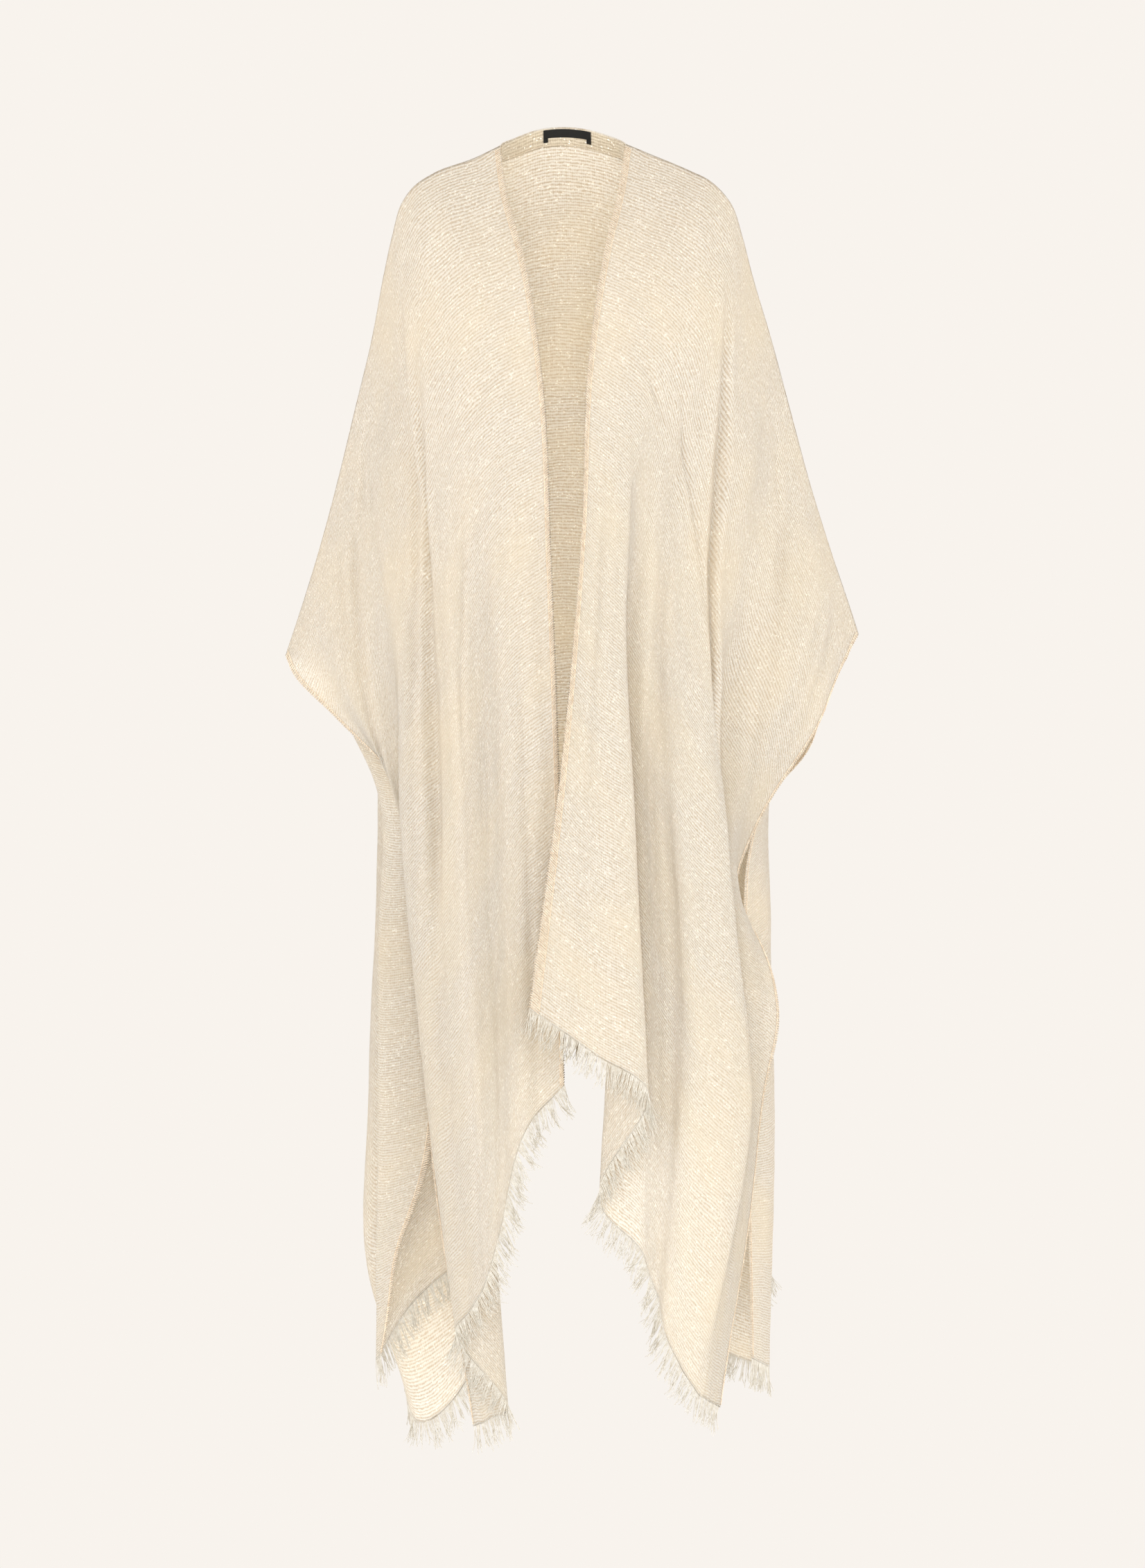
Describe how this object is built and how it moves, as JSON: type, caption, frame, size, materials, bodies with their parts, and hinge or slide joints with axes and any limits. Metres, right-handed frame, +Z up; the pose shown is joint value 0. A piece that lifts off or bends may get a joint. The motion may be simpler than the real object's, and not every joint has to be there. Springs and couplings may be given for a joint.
{
  "type": "kaftan",
  "caption": "Open-front kaftan of one light woven cloth folded over the shoulders, with open draped sleeves, overlocked edges and fringed hems, in its worn pose with no wearer.",
  "frame": {"origin": "middle of the neck at the height of the shoulder line, where the wearer's shoulders hold the garment up", "axes": "+Z up along the wearer's spine, -Y the way the wearer faces, +X the wearer's left"},
  "size_m": [0.6224, 0.2841, 1.438],
  "materials": {
    "cloth": "matte crinkled weave with fine metallic sparkle",
    "band": "matte folded facing",
    "label": "matte woven satin, blank",
    "fringe": "matte loose yarn"
  },
  "bodies": {
    "root": {"left_front": "cloth", "right_front": "cloth", "back": "cloth", "neck_band": "band", "label": "label", "left_front_fringe": "fringe", "right_front_fringe": "fringe", "back_fringe": "fringe"}
  },
  "joints": []
}
